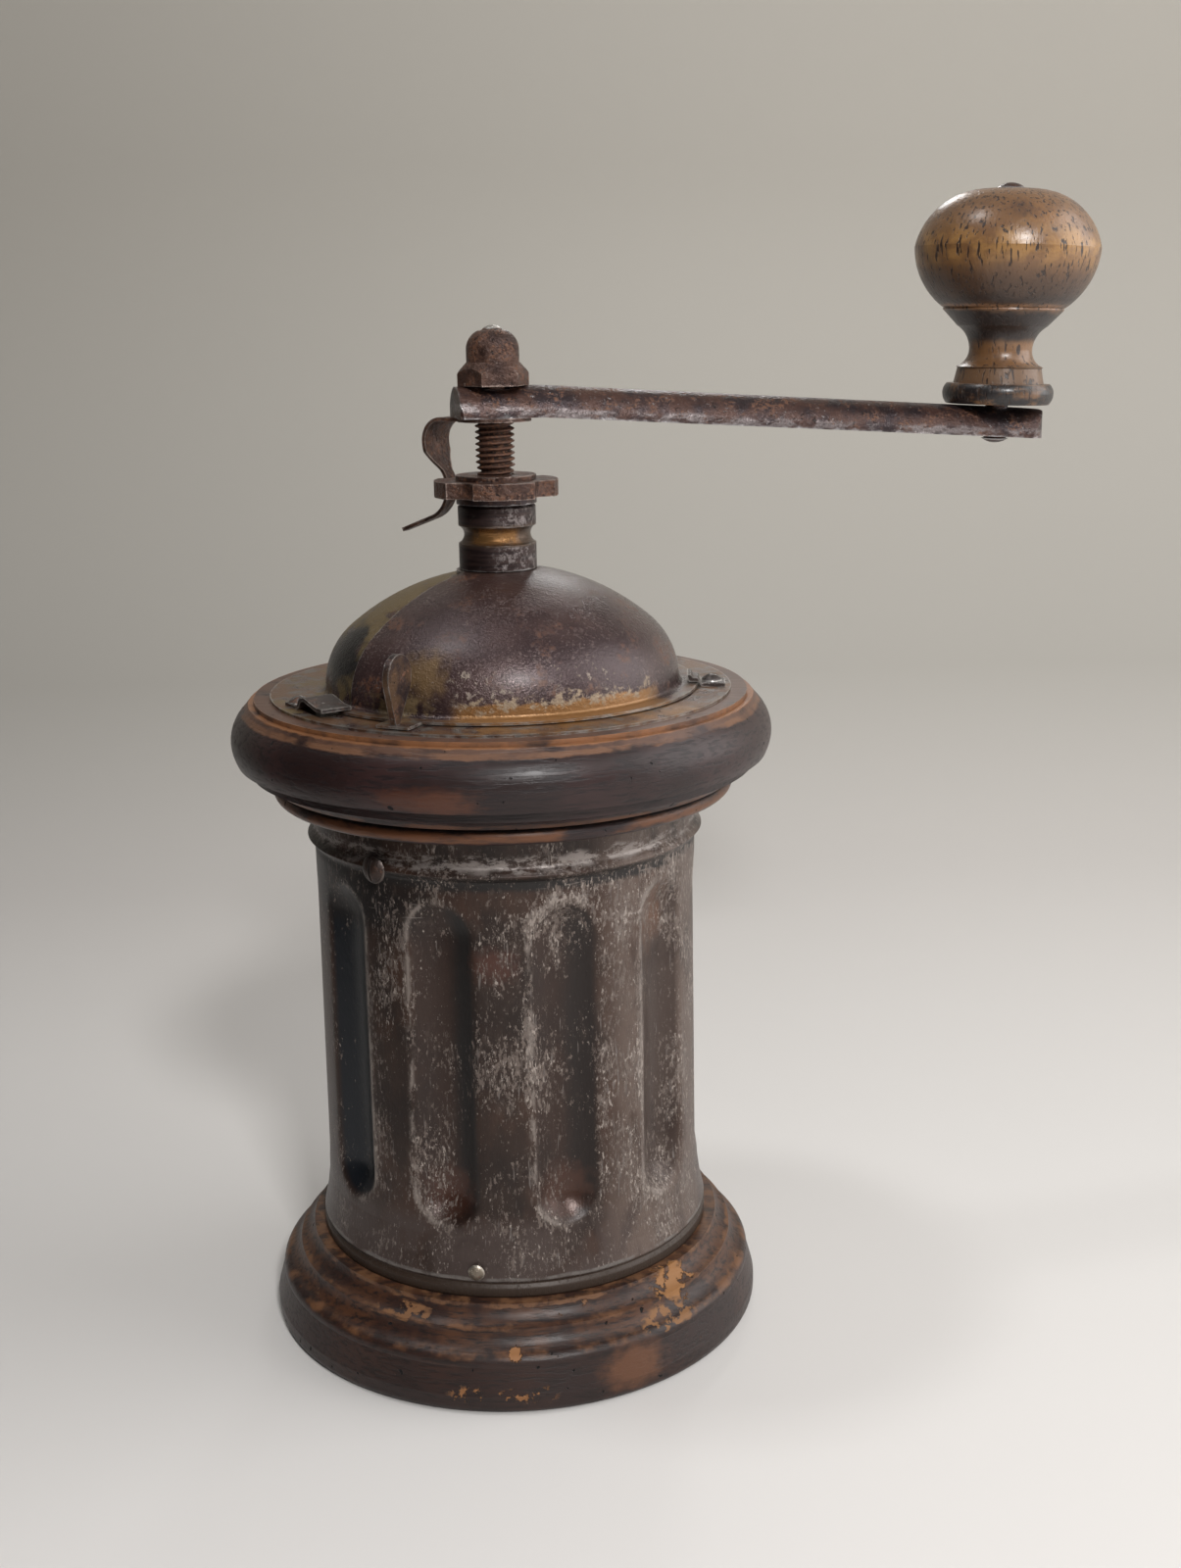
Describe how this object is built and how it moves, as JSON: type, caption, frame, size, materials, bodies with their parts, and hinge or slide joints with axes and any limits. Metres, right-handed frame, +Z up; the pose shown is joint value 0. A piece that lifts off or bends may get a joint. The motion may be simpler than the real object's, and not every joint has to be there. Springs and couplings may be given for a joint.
{
  "type": "manual coffee grinder",
  "caption": "Hand-cranked column coffee grinder with a domed hopper with a turning cover, a fluted metal column, turned wooden rings, a star adjusting nut and a rear drawer.",
  "frame": {"origin": "centre of the wooden base's underside", "axes": "+Z up along the spindle; the dome's filling window faces -Y, the drawer opens along +Y, and the crank points along +X, 12 degrees towards +Y"},
  "size_m": [0.1936, 0.1174, 0.2485],
  "materials": {
    "stained_wood": "worn dark stain",
    "beech": "glossy varnish",
    "tinned_sheet": "worn black over tin",
    "dark_sheet": "dark oxidised",
    "dark_steel": "dark worn",
    "rusty_steel": "rusted",
    "cast_iron": "as cast"
  },
  "bodies": {
    "frame": {"base_plinth": "stained_wood", "column_shell": "tinned_sheet", "cornice_ring": "stained_wood", "hopper_dome": "dark_sheet", "left_clip": "dark_sheet", "right_clip": "dark_sheet", "clip_screws": "dark_steel", "neck_collar": "dark_steel", "shell_screws": "dark_steel", "base_nails": "dark_steel", "outer_burr": "cast_iron", "burr_bridge": "cast_iron", "bridge_screws": "dark_steel", "burr_screws": "dark_steel"},
    "carrier": {"thrust_washer": "dark_steel"},
    "nut": {"adjusting_nut": "rusty_steel"},
    "crank": {"spindle": "rusty_steel", "detent_spring": "rusty_steel", "crank_arm": "dark_steel", "cap_nut": "rusty_steel", "knob_pin": "dark_steel", "inner_burr": "cast_iron", "burr_pin": "dark_steel"},
    "knob": {"knob": "beech"},
    "cover": {"dome_cover": "dark_sheet", "cover_tab": "dark_sheet"},
    "drawer": {"drawer_tray": "tinned_sheet", "drawer_front": "tinned_sheet", "drawer_knob": "beech", "drawer_rivet": "dark_steel"}
  },
  "joints": [
    {"name": "crank_spin", "type": "hinge", "parent": "frame", "child": "carrier", "pos_m": [0, 0, 0.184], "axis": [0, 0, 1], "continuous": true},
    {"name": "nut_turn", "type": "hinge", "parent": "carrier", "child": "nut", "pos_m": [0, 0, 0.1865], "axis": [0, 0, 1], "range_deg": [-360, 360], "deforming": ["detent_spring"]},
    {"name": "burr_lift", "type": "slide", "parent": "carrier", "child": "crank", "axis": [0, 0, 1], "range_m": [-0.00125, 0.00125]},
    {"name": "knob_spin", "type": "hinge", "parent": "crank", "child": "knob", "pos_m": [0.11337, 0.0241, 0.197], "axis": [0.0324, 0.0069, 0.9995], "continuous": true},
    {"name": "cover_turn", "type": "hinge", "parent": "frame", "child": "cover", "pos_m": [0, 0, 0.1445], "axis": [0, 0, 1], "range_deg": [-10, 100]},
    {"name": "drawer_slide", "type": "slide", "parent": "frame", "child": "drawer", "axis": [0, 1, 0], "range_m": [0, 0.062]}
  ],
  "couplings": [
    {"joint": "nut_turn", "follows": "burr_lift", "rad_per_m": -5026.5}
  ]
}
